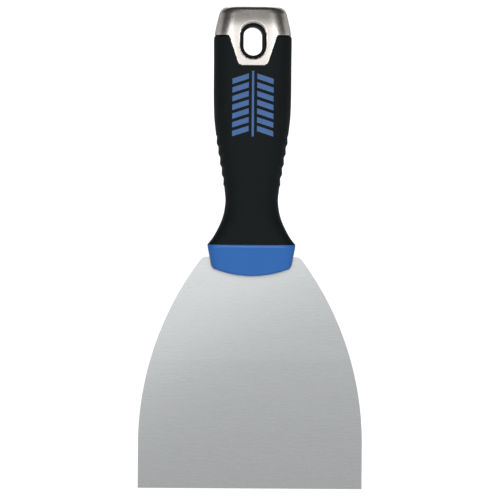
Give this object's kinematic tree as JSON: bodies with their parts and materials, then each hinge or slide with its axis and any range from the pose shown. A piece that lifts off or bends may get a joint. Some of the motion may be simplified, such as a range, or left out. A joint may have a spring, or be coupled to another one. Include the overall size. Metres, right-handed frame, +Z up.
{
  "type": "hammer-end joint knife",
  "caption": "Wide stiff-bladed joint knife with a waisted soft grip, a hard bolster, and a metal striking cap pierced by an oval hang hole.",
  "frame": {"origin": "centre of the hang hole, midway between the front and the back of the handle", "axes": "+Z up the handle from the blade's edge to the striking cap, +X across the blade to the right as seen from the front, -Y out of the front face"},
  "size_m": [0.1016, 0.0234, 0.2183],
  "materials": {
    "blade_steel": "satin",
    "bolster_plastic": "semi-gloss",
    "grip_rubber": "matte",
    "cap_steel": "fine polished",
    "eyelet_plastic": "matte",
    "core_plastic": "matte",
    "rivet_steel": "plain"
  },
  "bodies": {
    "root": {"blade": "blade_steel", "bolster": "bolster_plastic", "grip": "grip_rubber", "hammer_cap": "cap_steel", "eyelet_front": "eyelet_plastic", "eyelet_rear": "eyelet_plastic", "front_core": "core_plastic", "rear_core": "core_plastic", "rivet_lower": "rivet_steel", "rivet_middle": "rivet_steel", "rivet_upper": "rivet_steel"}
  },
  "joints": []
}
